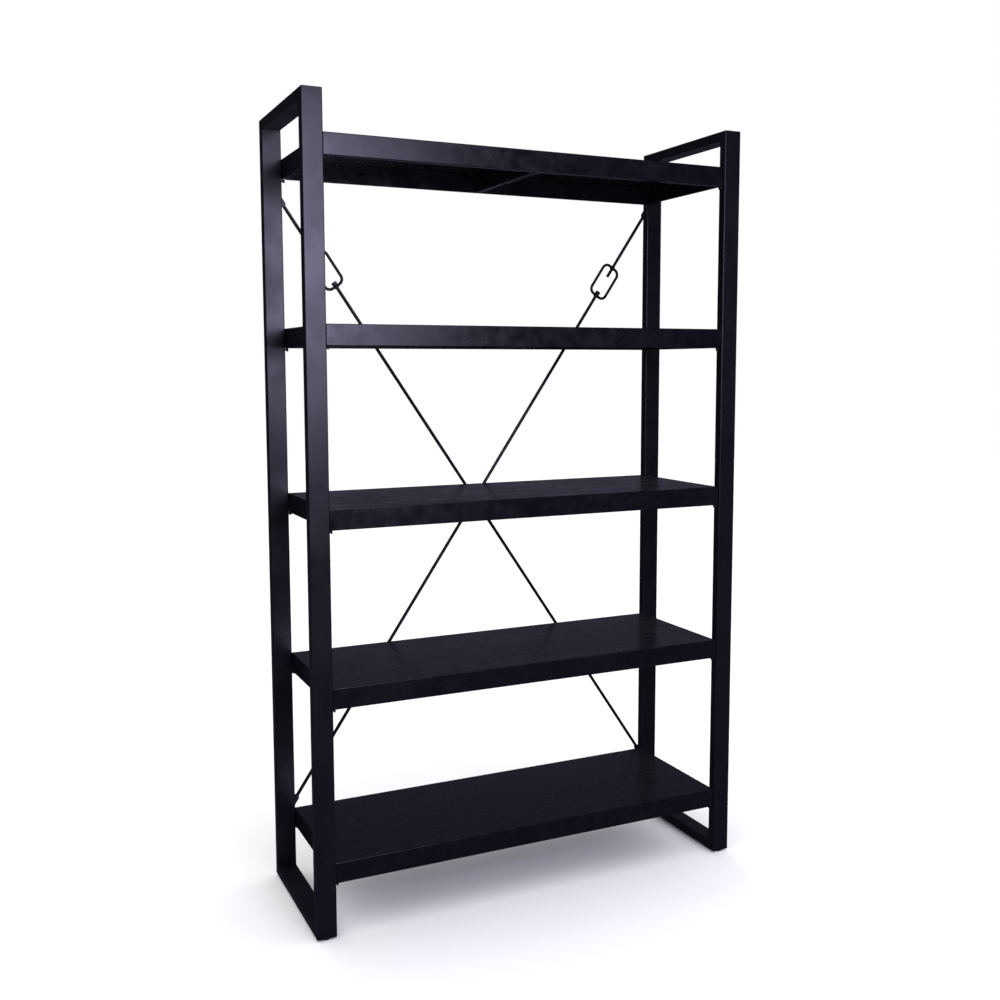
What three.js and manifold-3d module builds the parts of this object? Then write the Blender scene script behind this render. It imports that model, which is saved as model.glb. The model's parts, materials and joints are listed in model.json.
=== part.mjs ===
// Open steel bookcase: two closed tube frames, five folded pan shelves held on
// headed pins, and a rear cross of tie rods with a turning tension ring on each.
// Millimetres, +Z up, front facing -Y. The origin is on the floor at the centre.

import * as THREE from "three";
import { mergeVertices } from "three/addons/utils/BufferGeometryUtils.js";
import Module from "manifold-3d";

// Driving dimensions.
const FRAME_WIDTH = 1205; // outside to outside, along X
const FRAME_DEPTH = 404; // along Y
const FRAME_HEIGHT = 2000; // tube bottom to tube top
const GLIDE_HEIGHT = 5; // lifts the frames off the floor

const TUBE_FACE = 50; // tube size along X
const TUBE_DEPTH = 25; // tube size in the plane of the side frame
const TUBE_WALL = 2;
const TUBE_CORNER = 2.4;
const MITRE_GAP = 0.1; // on each side of a mitred corner

const SHELF_COUNT = 5;
const SHELF_PITCH = 430.25;
const LOWEST_SHELF_TOP = 188;
const SHELF_HEIGHT = 51;
const SHELF_SHEET = 2;
const SHELF_HEM = 4; // thickness of the folded-back lower edge at the ends and rear
const SHELF_HEM_HEIGHT = 10;
const SHELF_LIP = 18; // the front flange's return at its lower edge, along Y
const LIP_RELIEF = 12; // the return stops this far from the shelf's ends
const SHELF_FRONT_RECESS = 4; // behind the posts' front face
const SHELF_REAR_RECESS = 19; // leaves room for the rods behind the shelves
const SHELF_CORNER = 1.5;
const FIT_GAP = 0.3; // between pieces that touch without being welded

const RIB_WIDTH = 24;
const RIB_SHEET = 2;
const RIB_HOLE = 6; // three holes in the web: near both ends and in the middle
const RIB_HOLE_INSET = 12; // from the web's ends

const PIN_NECK = 6; // diameter
const PIN_HEAD = 10;
const PIN_HEAD_LENGTH = 4;
const PIN_SHANK_LENGTH = 10; // inside the post
const PIN_EDGE = 12.5; // front pins: distance from the posts' front face
const PIN_REAR_EDGE = 19.5; // rear pins: distance from the posts' rear face
const NOTCH_LENGTH = 6; // clears a rear pin's head in the shelf's rear flange
const NOTCH_HEIGHT = 2.5;

const ROD_DIAMETER = 9;
// Where the axis of each rod meets the posts' inner faces, by its upper end's side.
const ROD_UPPER_Z = { left: 1807, right: 1836 };
const ROD_LOWER_Z = { left: 178, right: 206 };
const ROD_END_SETBACK = 8; // a rod stops this far before that point
const ROD_CLEARANCE = 0.3; // round a rod, in its anchor and in the bosses

const ANCHOR_LENGTH = 17;
const ANCHOR_WIDTH = 14;
const ANCHOR_THICKNESS = 11.6;

const RING_START = { left: 161, right: 202 }; // from the upper post face to the ring
const RING_LENGTH = 98; // wire centre to wire centre, along the rod
const RING_WIDTH = 54; // wire centre to wire centre, across the rod
const RING_CORNER = 16;
const RING_WIRE = 8;
const RING_BOSS = 13.6; // diameter of both bosses
const RING_BOSS_LENGTH = 11;
const ROD_IN_RING = 31; // how far the upper rod reaches past the upper wire
const NUT_ACROSS_CORNERS = 16;
const NUT_HEIGHT = 6.5;

const GLIDE_DIAMETER = 25;
const GLIDE_STUD = 8;
const GLIDE_STUD_LENGTH = 9;
const GLIDE_INSET = 16; // from the frame's front or rear face

// Smoothness of round shapes.
const FINE_SIDES = 20;
const ROD_SIDES = 16;
const SMALL_SIDES = 12;
const CORNER_STEPS = 6;
const SHARP_CORNER_STEPS = 3;
const OVERRUN = 1; // how far a cutter or a joined shape runs past a face

// Places worked out from the sizes above.
const HALF_WIDTH = FRAME_WIDTH / 2;
const HALF_DEPTH = FRAME_DEPTH / 2;
const INNER_X = HALF_WIDTH - TUBE_FACE;
const POST_X = HALF_WIDTH - TUBE_FACE / 2;
const FRAME_BOTTOM = GLIDE_HEIGHT;
const FRAME_TOP = GLIDE_HEIGHT + FRAME_HEIGHT;
const SHELF_FRONT = -HALF_DEPTH + SHELF_FRONT_RECESS;
const SHELF_REAR = HALF_DEPTH - SHELF_REAR_RECESS;
const SHELF_DEPTH = SHELF_REAR - SHELF_FRONT;
const SHELF_LENGTH = 2 * (INNER_X - FIT_GAP);
const PIN_Y = { front: -HALF_DEPTH + PIN_EDGE, rear: HALF_DEPTH - PIN_REAR_EDGE };
// The rods pass one behind the other.
const ROD_Y = {
  left: SHELF_REAR + 2 * FIT_GAP + ROD_DIAMETER * 1.5,
  right: SHELF_REAR + FIT_GAP + ROD_DIAMETER / 2,
};
const SIDES = { left: -1, right: 1 };

const STEEL = { color: 0x16151a, roughness: 0.38, metalness: 0.0 };
const SHELF_STEEL = { color: 0x1a181d, roughness: 0.34, metalness: 0.0 };
const ROD_STEEL = { color: 0x121114, roughness: 0.42, metalness: 0.6 };
const FASTENER_STEEL = { color: 0x1c1b1f, roughness: 0.36, metalness: 0.7 };
const GLIDE_PLASTIC = { color: 0x0d0d0f, roughness: 0.6, metalness: 0.0 };

const wasm = await Module();
wasm.setup();

const bookcase = new THREE.Group();

function addPiece(name, geometry, finish, parent = bookcase) {
  const mesh = new THREE.Mesh(geometry, new THREE.MeshStandardMaterial(finish));
  mesh.name = name;
  parent.add(mesh);
  return mesh;
}

// Solids: a closed geometry becomes a manifold solid, and a solid a geometry.

function toSolid(geometry) {
  const bare = geometry.index ? geometry.toNonIndexed() : geometry.clone();
  for (const attribute of ["normal", "uv"]) {
    bare.deleteAttribute(attribute);
  }
  const merged = mergeVertices(bare, 1e-4);
  const mesh = new wasm.Mesh({
    numProp: 3,
    vertProperties: new Float32Array(merged.attributes.position.array),
    triVerts: new Uint32Array(merged.index.array),
  });
  return new wasm.Manifold(mesh);
}

function toGeometry(solid) {
  const mesh = solid.getMesh();
  const geometry = new THREE.BufferGeometry();
  geometry.setAttribute("position", new THREE.BufferAttribute(mesh.vertProperties, 3));
  geometry.setIndex(new THREE.BufferAttribute(mesh.triVerts, 1));
  const flat = geometry.toNonIndexed();
  flat.computeVertexNormals();
  return flat;
}

function cut(geometry, cutters) {
  let solid = toSolid(geometry);
  for (const cutter of cutters) {
    solid = solid.subtract(toSolid(cutter));
  }
  return toGeometry(solid);
}

function join(geometries) {
  let solid = toSolid(geometries[0]);
  for (const geometry of geometries.slice(1)) {
    solid = solid.add(toSolid(geometry));
  }
  return toGeometry(solid);
}

// Basic shapes.

function box(low, high) {
  const size = high.map((value, axis) => value - low[axis]);
  const middle = high.map((value, axis) => (value + low[axis]) / 2);
  return new THREE.BoxGeometry(...size).translate(...middle);
}

// A round bar along +Z from z = start to z = end.
function bar(diameter, start, end, sides) {
  const radius = diameter / 2;
  const shape = new THREE.CylinderGeometry(radius, radius, end - start, sides);
  return shape.rotateX(Math.PI / 2).translate(0, 0, (start + end) / 2);
}

function roundedRectangle(width, height, radius) {
  const x = width / 2;
  const y = height / 2;
  const shape = new THREE.Shape();
  shape.moveTo(x, -y + radius);
  shape.absarc(x - radius, y - radius, radius, 0, Math.PI / 2, false);
  shape.absarc(-x + radius, y - radius, radius, Math.PI / 2, Math.PI, false);
  shape.absarc(-x + radius, -y + radius, radius, Math.PI, Math.PI * 1.5, false);
  shape.absarc(x - radius, -y + radius, radius, Math.PI * 1.5, Math.PI * 2, false);
  return shape;
}

// Side frames. A tube is made along +Z from z = 0 to z = length, TUBE_DEPTH wide
// in Y, with both ends mitred at 45 degrees so that the -Y face is the short one.

function mitredTube(length) {
  const outline = roundedRectangle(TUBE_FACE, TUBE_DEPTH, TUBE_CORNER);
  const bore = roundedRectangle(
    TUBE_FACE - 2 * TUBE_WALL,
    TUBE_DEPTH - 2 * TUBE_WALL,
    TUBE_CORNER / 2,
  );
  outline.holes.push(bore);
  const tube = new THREE.ExtrudeGeometry(outline, {
    depth: length,
    bevelEnabled: false,
    curveSegments: SHARP_CORNER_STEPS,
  });
  // A wedge is all that lies under the mitre plane. It is drawn in the tube's Y and
  // Z and extruded along X, then turned over for the other end.
  const reach = 2 * TUBE_DEPTH;
  const wedges = [];
  for (const end of [0, 1]) {
    const corner = new THREE.Shape();
    corner.moveTo(-TUBE_DEPTH / 2 - reach, TUBE_DEPTH + reach + MITRE_GAP);
    corner.lineTo(TUBE_DEPTH / 2 + reach, -reach + MITRE_GAP);
    corner.lineTo(-TUBE_DEPTH / 2 - reach, -reach + MITRE_GAP);
    const wedge = new THREE.ExtrudeGeometry(corner, {
      depth: 2 * TUBE_FACE,
      bevelEnabled: false,
    });
    const drawnInYZ = new THREE.Matrix4().makeBasis(
      new THREE.Vector3(0, 1, 0),
      new THREE.Vector3(0, 0, 1),
      new THREE.Vector3(1, 0, 0),
    );
    wedge.translate(0, 0, -TUBE_FACE).applyMatrix4(drawnInYZ);
    if (end === 1) {
      wedge.rotateY(Math.PI).translate(0, 0, length);
    }
    wedges.push(wedge);
  }
  return cut(tube, wedges);
}

// A hole along X through the inner wall of a post.
function pinHole(side, y, z) {
  const hole = bar(PIN_NECK + 2 * FIT_GAP, -OVERRUN, TUBE_WALL + OVERRUN, SMALL_SIDES);
  return hole.rotateY(SIDES[side] * Math.PI / 2).translate(SIDES[side] * INNER_X, y, z);
}

function shelfUnderside(level) {
  return LOWEST_SHELF_TOP + level * SHELF_PITCH - SHELF_HEIGHT;
}

function pinZ(level) {
  return shelfUnderside(level) - FIT_GAP - PIN_NECK / 2;
}

function makePost(side, end) {
  const outward = end === "front" ? -1 : 1;
  const post = mitredTube(FRAME_HEIGHT);
  if (outward < 0) {
    post.rotateZ(Math.PI);
  }
  const y = outward * (HALF_DEPTH - TUBE_DEPTH / 2);
  post.translate(SIDES[side] * POST_X, y, FRAME_BOTTOM);
  const holes = [];
  for (let level = 0; level < SHELF_COUNT; level += 1) {
    holes.push(pinHole(side, PIN_Y[end], pinZ(level)));
  }
  addPiece(`${end}_post_${side}`, cut(post, holes), STEEL);
}

function makeRail(side, place) {
  const rail = mitredTube(FRAME_DEPTH);
  const upright = place === "top" ? Math.PI : 0;
  rail.rotateZ(upright).rotateX(-Math.PI / 2);
  const middle = TUBE_DEPTH / 2;
  const z = place === "top" ? FRAME_TOP - middle : FRAME_BOTTOM + middle;
  rail.translate(SIDES[side] * POST_X, -HALF_DEPTH, z);
  const holes = [];
  if (place === "bottom") {
    for (const end of [-1, 1]) {
      const hole = bar(
        GLIDE_STUD + 2 * FIT_GAP,
        FRAME_BOTTOM - OVERRUN,
        FRAME_BOTTOM + TUBE_WALL + OVERRUN,
        SMALL_SIDES,
      );
      hole.translate(SIDES[side] * POST_X, end * (HALF_DEPTH - GLIDE_INSET), 0);
      holes.push(hole);
    }
  }
  addPiece(`${place}_rail_${side}`, cut(rail, holes), STEEL);
}

function makeGlide(side, end) {
  const outward = end === "front" ? -1 : 1;
  const discTop = GLIDE_HEIGHT - FIT_GAP;
  const studTop = GLIDE_HEIGHT + GLIDE_STUD_LENGTH;
  const disc = bar(GLIDE_DIAMETER, 0, discTop, FINE_SIDES);
  const stud = bar(GLIDE_STUD, discTop - OVERRUN, studTop, SMALL_SIDES);
  const glide = addPiece(`glide_foot_${end}_${side}`, join([disc, stud]), GLIDE_PLASTIC);
  glide.position.set(SIDES[side] * POST_X, outward * (HALF_DEPTH - GLIDE_INSET), 0);
}

// Shelves. A pan is made round the middle of its underside: a sheet with flanges
// turned down, open below, with a return along the front and hems elsewhere.

const HALF_LENGTH = SHELF_LENGTH / 2;
const HALF_PAN = SHELF_DEPTH / 2;

// From inner to outer on the right, or its mirror image on the left.
function xRange(side, inner, outer) {
  return side < 0 ? [-outer, -inner] : [inner, outer];
}

function panGeometry() {
  const outline = roundedRectangle(SHELF_LENGTH, SHELF_DEPTH, SHELF_CORNER);
  const block = new THREE.ExtrudeGeometry(outline, {
    depth: SHELF_HEIGHT,
    bevelEnabled: false,
    curveSegments: SHARP_CORNER_STEPS,
  });
  const front = -HALF_PAN + SHELF_SHEET;
  const lipEdge = -HALF_PAN + SHELF_LIP;
  const sheetEnd = HALF_LENGTH - SHELF_SHEET;
  const hemEnd = HALF_LENGTH - SHELF_HEM;
  const hollow = box(
    [-sheetEnd, front, SHELF_HEM_HEIGHT],
    [sheetEnd, HALF_PAN - SHELF_SHEET, SHELF_HEIGHT - SHELF_SHEET],
  );
  const betweenHems = box(
    [-hemEnd, front, SHELF_SHEET],
    [hemEnd, HALF_PAN - SHELF_HEM, SHELF_HEM_HEIGHT + OVERRUN],
  );
  const mouth = box(
    [-hemEnd, lipEdge, -OVERRUN],
    [hemEnd, HALF_PAN - SHELF_HEM, SHELF_SHEET + OVERRUN],
  );
  const cutters = [hollow, betweenHems, mouth];
  for (const side of [-1, 1]) {
    const [reliefLeft, reliefRight] = xRange(side, HALF_LENGTH - LIP_RELIEF, hemEnd);
    const relief = box(
      [reliefLeft, front, -OVERRUN],
      [reliefRight, lipEdge + OVERRUN, SHELF_SHEET + OVERRUN],
    );
    const [notchLeft, notchRight] = xRange(side, hemEnd - NOTCH_LENGTH, hemEnd);
    const notch = box(
      [notchLeft, HALF_PAN - SHELF_HEM - OVERRUN, -OVERRUN],
      [notchRight, HALF_PAN + OVERRUN, NOTCH_HEIGHT],
    );
    cutters.push(relief, notch);
  }
  return cut(block, cutters);
}

// A channel with its web at the bottom, open towards the shelf's sheet, and
// notched at the front over the pan's return.
function ribGeometry() {
  const x = RIB_WIDTH / 2;
  const top = SHELF_HEIGHT - SHELF_SHEET - FIT_GAP;
  const profile = new THREE.Shape();
  profile.moveTo(-x, 0);
  profile.lineTo(x, 0);
  profile.lineTo(x, top);
  profile.lineTo(x - RIB_SHEET, top);
  profile.lineTo(x - RIB_SHEET, RIB_SHEET);
  profile.lineTo(-x + RIB_SHEET, RIB_SHEET);
  profile.lineTo(-x + RIB_SHEET, top);
  profile.lineTo(-x, top);
  const front = -HALF_PAN + SHELF_SHEET + FIT_GAP;
  const rear = HALF_PAN - SHELF_HEM - FIT_GAP;
  const rib = new THREE.ExtrudeGeometry(profile, {
    depth: rear - front,
    bevelEnabled: false,
  });
  rib.rotateX(Math.PI / 2).translate(0, rear, 0);
  const webFront = -HALF_PAN + SHELF_LIP + FIT_GAP;
  const cutters = [
    box(
      [-RIB_WIDTH, -HALF_PAN, -OVERRUN],
      [RIB_WIDTH, webFront, SHELF_SHEET + FIT_GAP],
    ),
  ];
  const holes = [webFront + RIB_HOLE_INSET, (webFront + rear) / 2, rear - RIB_HOLE_INSET];
  for (const y of holes) {
    const hole = bar(RIB_HOLE, -OVERRUN, RIB_SHEET + OVERRUN, SMALL_SIDES);
    cutters.push(hole.translate(0, y, 0));
  }
  return cut(rib, cutters);
}

function makeShelf(level) {
  const middle = new THREE.Vector3(0, (SHELF_FRONT + SHELF_REAR) / 2, shelfUnderside(level));
  const pan = addPiece(`shelf_pan_${level + 1}`, panGeometry(), SHELF_STEEL);
  pan.position.copy(middle);
  const rib = addPiece(`shelf_rib_${level + 1}`, ribGeometry(), SHELF_STEEL);
  rib.position.copy(middle);
}

// A pin along X: a shank in the post, a neck under the shelf's end flange, and a
// head inside the pan that keeps the flange from sliding off.
function makePin(level, end, side) {
  const neckLength = SHELF_HEM + 2 * FIT_GAP;
  const shank = bar(PIN_NECK, -PIN_SHANK_LENGTH, neckLength + OVERRUN, SMALL_SIDES);
  const head = bar(PIN_HEAD, neckLength, neckLength + PIN_HEAD_LENGTH, FINE_SIDES);
  const pin = addPiece(
    `shelf_pin_${level + 1}_${end}_${side}`,
    join([shank, head]).rotateY(-SIDES[side] * Math.PI / 2),
    FASTENER_STEEL,
  );
  pin.position.set(SIDES[side] * INNER_X, PIN_Y[end], pinZ(level));
}

// Rear cross. Each rod is made in a group whose +Z runs down along the rod from
// the upper post face, whose +X is across the rod, and whose +Y is the part's.

function rodGroup(side) {
  const down = new THREE.Vector3(
    -SIDES[side] * 2 * INNER_X,
    0,
    ROD_LOWER_Z[side] - ROD_UPPER_Z[side],
  );
  const length = down.length();
  const along = down.normalize();
  const depth = new THREE.Vector3(0, 1, 0);
  const across = new THREE.Vector3().crossVectors(depth, along);
  const group = new THREE.Group();
  group.setRotationFromMatrix(new THREE.Matrix4().makeBasis(across, depth, along));
  group.position.set(SIDES[side] * INNER_X, ROD_Y[side], ROD_UPPER_Z[side]);
  bookcase.add(group);
  const lean = SIDES[side] * Math.acos(Math.abs(along.x));
  return { group, length, lean };
}

// A welded lug with the rod through it, cut off along the post's face.
function anchorGeometry(lean) {
  const halfWidth = ANCHOR_WIDTH / 2;
  const outline = new THREE.Shape();
  outline.moveTo(-halfWidth, -ANCHOR_LENGTH);
  outline.lineTo(halfWidth, -ANCHOR_LENGTH);
  outline.lineTo(halfWidth, ANCHOR_LENGTH - halfWidth);
  outline.absarc(0, ANCHOR_LENGTH - halfWidth, halfWidth, 0, Math.PI, false);
  const block = new THREE.ExtrudeGeometry(outline, {
    depth: ANCHOR_THICKNESS,
    bevelEnabled: false,
    curveSegments: CORNER_STEPS,
  });
  block.translate(0, 0, -ANCHOR_THICKNESS / 2).rotateX(Math.PI / 2);
  const reach = 3 * ANCHOR_LENGTH;
  const postSide = box([-reach, -reach, -2 * reach], [reach, reach, FIT_GAP]);
  postSide.rotateY(lean);
  const bore = bar(
    ROD_DIAMETER + 2 * ROD_CLEARANCE,
    -2 * ANCHOR_LENGTH,
    2 * ANCHOR_LENGTH,
    ROD_SIDES,
  );
  return cut(block, [postSide, bore]);
}

// The ring's wire: a round section carried once round a rounded rectangle.
function ringWire() {
  const path = [];
  const x = RING_WIDTH / 2 - RING_CORNER;
  const z = RING_LENGTH / 2 - RING_CORNER;
  const corners = [[x, z], [-x, z], [-x, -z], [x, -z]];
  corners.forEach(([cornerX, cornerZ], corner) => {
    for (let step = 0; step <= CORNER_STEPS; step += 1) {
      const angle = (corner + step / CORNER_STEPS) * Math.PI / 2;
      path.push(
        new THREE.Vector2(
          cornerX + RING_CORNER * Math.cos(angle),
          cornerZ + RING_CORNER * Math.sin(angle),
        ),
      );
    }
  });
  const sides = SMALL_SIDES;
  const positions = [];
  const indices = [];
  path.forEach((point, i) => {
    const next = path[(i + 1) % path.length];
    const previous = path[(i + path.length - 1) % path.length];
    const tangent = next.clone().sub(previous).normalize();
    for (let k = 0; k < sides; k += 1) {
      const angle = (k / sides) * Math.PI * 2;
      const out = RING_WIRE / 2 * Math.cos(angle);
      positions.push(
        point.x + tangent.y * out,
        RING_WIRE / 2 * Math.sin(angle),
        point.y - tangent.x * out,
      );
      const a = i * sides + k;
      const b = i * sides + ((k + 1) % sides);
      const c = ((i + 1) % path.length) * sides + k;
      const d = ((i + 1) % path.length) * sides + ((k + 1) % sides);
      indices.push(a, b, c, b, d, c);
    }
  });
  const geometry = new THREE.BufferGeometry();
  geometry.setAttribute("position", new THREE.Float32BufferAttribute(positions, 3));
  geometry.setIndex(indices);
  return geometry;
}

function ringGeometry() {
  const half = RING_LENGTH / 2;
  const bosses = [];
  for (const end of [-half, half]) {
    const from = end - RING_BOSS_LENGTH / 2;
    bosses.push(bar(RING_BOSS, from, from + RING_BOSS_LENGTH, FINE_SIDES));
  }
  const bore = bar(
    ROD_DIAMETER + 2 * ROD_CLEARANCE,
    -RING_LENGTH,
    RING_LENGTH,
    ROD_SIDES,
  );
  return cut(join([ringWire(), ...bosses]), [bore]);
}

function makeRod(side) {
  const other = side === "left" ? "right" : "left";
  const { group, length, lean } = rodGroup(side);
  const ringEnd = RING_START[side] + RING_LENGTH;
  const nutStart = ringEnd - RING_BOSS_LENGTH / 2 - FIT_GAP - NUT_HEIGHT;

  addPiece(`rod_anchor_upper_${side}`, anchorGeometry(lean), STEEL, group);
  const lowerAnchor = addPiece(
    `rod_anchor_lower_${other}`,
    anchorGeometry(lean),
    STEEL,
    group,
  );
  lowerAnchor.rotation.y = Math.PI;
  lowerAnchor.position.z = length;

  const upperEnd = RING_START[side] + ROD_IN_RING;
  const upperRod = bar(ROD_DIAMETER, ROD_END_SETBACK, upperEnd, ROD_SIDES);
  addPiece(`upper_rod_${side}`, upperRod, ROD_STEEL, group);
  const lowerRod = bar(ROD_DIAMETER, nutStart, length - ROD_END_SETBACK, ROD_SIDES);
  addPiece(`lower_rod_${side}`, lowerRod, ROD_STEEL, group);

  const hexagon = bar(NUT_ACROSS_CORNERS, nutStart, nutStart + NUT_HEIGHT, 6);
  hexagon.rotateZ(Math.PI / 6); // flats face the front and the rear
  const hole = bar(ROD_DIAMETER + 2 * ROD_CLEARANCE, nutStart - OVERRUN, ringEnd, ROD_SIDES);
  addPiece(`swivel_nut_${side}`, cut(hexagon, [hole]), FASTENER_STEEL, group);

  const ring = addPiece(`tension_ring_${side}`, ringGeometry(), ROD_STEEL, group);
  ring.position.z = RING_START[side] + RING_LENGTH / 2;
}

for (const side of ["left", "right"]) {
  for (const end of ["front", "rear"]) {
    makePost(side, end);
    makeGlide(side, end);
  }
  makeRail(side, "top");
  makeRail(side, "bottom");
}

for (let level = 0; level < SHELF_COUNT; level += 1) {
  makeShelf(level);
  for (const end of ["front", "rear"]) {
    for (const side of ["left", "right"]) {
      makePin(level, end, side);
    }
  }
}

for (const side of ["left", "right"]) {
  makeRod(side);
}

export default bookcase;
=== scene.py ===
import json
import math

import bmesh
import bpy
from mathutils import Matrix, Vector, noise


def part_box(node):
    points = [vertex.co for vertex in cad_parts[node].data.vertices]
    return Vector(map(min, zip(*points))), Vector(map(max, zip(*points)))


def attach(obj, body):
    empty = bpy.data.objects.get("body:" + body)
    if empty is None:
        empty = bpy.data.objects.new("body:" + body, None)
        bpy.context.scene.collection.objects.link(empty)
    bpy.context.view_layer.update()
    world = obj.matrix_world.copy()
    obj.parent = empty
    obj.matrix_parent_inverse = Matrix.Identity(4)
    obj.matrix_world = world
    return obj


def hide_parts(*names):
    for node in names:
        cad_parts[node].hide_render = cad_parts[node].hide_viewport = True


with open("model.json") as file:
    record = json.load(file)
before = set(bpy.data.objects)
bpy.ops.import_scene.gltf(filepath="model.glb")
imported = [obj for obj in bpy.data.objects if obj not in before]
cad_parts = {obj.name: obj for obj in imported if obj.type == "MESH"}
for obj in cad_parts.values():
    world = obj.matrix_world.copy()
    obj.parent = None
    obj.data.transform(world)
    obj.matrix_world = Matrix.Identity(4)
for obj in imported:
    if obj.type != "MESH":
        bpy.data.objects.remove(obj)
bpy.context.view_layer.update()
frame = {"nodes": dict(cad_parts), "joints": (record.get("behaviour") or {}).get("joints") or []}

# Finer pieces and procedural finishes for the open steel bookcase, built round the
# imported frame. Metres, +Z up, front facing -Y.

MM = 0.001
SIGN = {"left": -1, "right": 1, "front": -1, "rear": 1}
SIDES = ("left", "right")
ENDS = ("front", "rear")
SHELVES = range(1, 6)
FRAME_BODY = "bookcase_frame"

# Tube frames.
TUBE_HALF_FACE = 25 * MM
TUBE_DEPTH = 25 * MM
TUBE_CORNER = 2.6 * MM
TUBE_CORNER_STEPS = 6
SEAM_HALF_WIDTH = 1.1 * MM
SEAM_DEPTH = 0.22 * MM
SEAM_REACH = 20  # in half widths: where the tube is plain again
GLIDE_ROUNDING = 1.4 * MM
GLIDE_STUD_RADIUS = 4 * MM

# Folded shelf pans and their ribs.
SHEET = 2 * MM
HEM = 4 * MM
HEM_HEIGHT = 10 * MM
LIP = 18 * MM
LIP_RELIEF = 12 * MM
NOTCH_LENGTH = 6 * MM
NOTCH_HEIGHT = 2.5 * MM
FIT_GAP = 0.3 * MM
OVERRUN = 5 * MM
FOLD_RADIUS = 1.6 * MM
PAN_CORNER = 1.5 * MM
HEM_RADIUS = 1.7 * MM
EDGE_RADIUS = 0.35 * MM
RIB_RADIUS = 2.2 * MM
RIB_HOLE_RADIUS = 3 * MM
RIB_HOLE_INSET = 12 * MM
TINY = 1e-5  # positions this close count as equal

# Rods, rings and small parts.
ROD_RADIUS = 4.5 * MM
ROD_CLEARANCE = 0.3 * MM
THREAD_PITCH = 1.25 * MM
THREAD_DEPTH = 0.6 * MM
THREAD_LENGTH = 62 * MM
ROD_CHAMFER = 0.9 * MM
RING_LENGTH = 98 * MM
RING_WIDTH = 54 * MM
RING_CORNER = 16 * MM
RING_WIRE = 8 * MM
RING_BOSS = 13.6 * MM
RING_BOSS_LENGTH = 11 * MM
NUT_ACROSS_CORNERS = 16 * MM
NUT_CHAMFER = 0.75 * MM
NUT_COUNTERSINK = 0.4 * MM
ROD_DOME = 2.2 * MM
PIN_NECK_LENGTH = 4.6 * MM
PIN_NECK_RADIUS = 3 * MM
ANCHOR_ROUNDING = 0.9 * MM
BEAD_RADIUS = 1.2 * MM
BEAD_INSET = 0.5 * MM
BEAD_STEP = 0.6 * MM

# Studio. A pair of strengths runs from one end of its gradient to the other.
SKY_HEIGHTS = (0.1, 0.75)
SKY_STRENGTH = (0.35, 1.5)
SKY_COLOUR = (1.0, 1.0, 1.0)
BACKDROP_DIRECTION = (0.42, 0.90, 0.08)
BACKDROP_SPREAD = (0.915, 0.985)  # cosine of the angle from that direction
BACKDROP_STRENGTH = (0.0, 0.085)
ROOM_HEIGHTS = (-0.25, -0.03)
ROOM_STRENGTH = (0.03, 0.008)
REFLECTED_COLOUR = (0.95, 0.84, 1.35)
PAPER_COLOUR = (1.0, 1.0, 1.0)
LAMP_COLOUR = (0.93, 0.87, 1.28)
FLOOR_RADIUS = 14

SENSOR_WIDTH = 36
FOCAL_LENGTH = 39.99
CAMERA_SHIFT = -0.022
CAMERA_PLACE = (-1.28516, -2.69508, 1.3798)
CAMERA_HEADING = -25.16  # degrees, as are the next two
CAMERA_DIP = 5.74
CAMERA_ROLL = -0.14

SHARP_ANGLE = 38  # degrees; sharper edges are creased, or rounded by a bevel


# ---------------------------------------------------------------- mesh helpers

def new_mesh(name, bm, sharp_angle=SHARP_ANGLE):
    """A mesh from bm, shaded smooth except across edges sharper than sharp_angle."""
    bmesh.ops.recalc_face_normals(bm, faces=bm.faces)
    limit = math.radians(sharp_angle)
    for face in bm.faces:
        face.smooth = True
    for edge in bm.edges:
        edge.smooth = len(edge.link_faces) == 2 and edge.calc_face_angle(0) < limit
    mesh = bpy.data.meshes.new(name)
    bm.to_mesh(mesh)
    bm.free()
    return mesh


def add_piece(name, mesh, finish, body=FRAME_BODY, nodes=()):
    """One visible piece: its mesh, finish, body and the CAD nodes it stands for."""
    piece = bpy.data.objects.new(name, mesh)
    bpy.context.scene.collection.objects.link(piece)
    mesh.materials.clear()
    mesh.materials.append(finish)
    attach(piece, body)
    if nodes:
        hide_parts(*nodes)
    return piece


def loft(bm, rings, loop=False):
    """Skins rings of equally many points. A loop joins the last ring to the first."""
    rows = [[bm.verts.new(point) for point in ring] for ring in rings]
    count = len(rows[0])
    pairs = list(zip(rows, rows[1:]))
    if loop:
        pairs.append((rows[-1], rows[0]))
    for near, far in pairs:
        for i in range(count):
            j = (i + 1) % count
            bm.faces.new((near[i], near[j], far[j], far[i]))
    if not loop:
        bm.faces.new(rows[0])
        bm.faces.new(rows[-1])


def basis(axis, hint=Vector((0, 1, 0))):
    """Two unit vectors that make a right-handed set with axis."""
    across = hint.cross(axis).normalized()
    return across, axis.cross(across).normalized()


def turned(bm, start, axis, profile, sides=48, loop=False):
    """A turned shape. profile holds (distance along axis, radius) from start."""
    across, up = basis(axis)
    rings = []
    for along, radius in profile:
        ring = []
        for k in range(sides):
            angle = math.tau * k / sides
            spoke = across * math.cos(angle) + up * math.sin(angle)
            ring.append(start + axis * along + spoke * radius)
        rings.append(ring)
    loft(bm, rings, loop)


def evaluated_mesh(piece):
    """A copy of piece's mesh with its modifiers applied; piece itself is removed."""
    view = bpy.context.evaluated_depsgraph_get()
    mesh = bpy.data.meshes.new_from_object(piece.evaluated_get(view))
    bpy.data.objects.remove(piece)
    return mesh


def scratch(mesh):
    piece = bpy.data.objects.new("scratch", mesh)
    bpy.context.scene.collection.objects.link(piece)
    return piece


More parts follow.
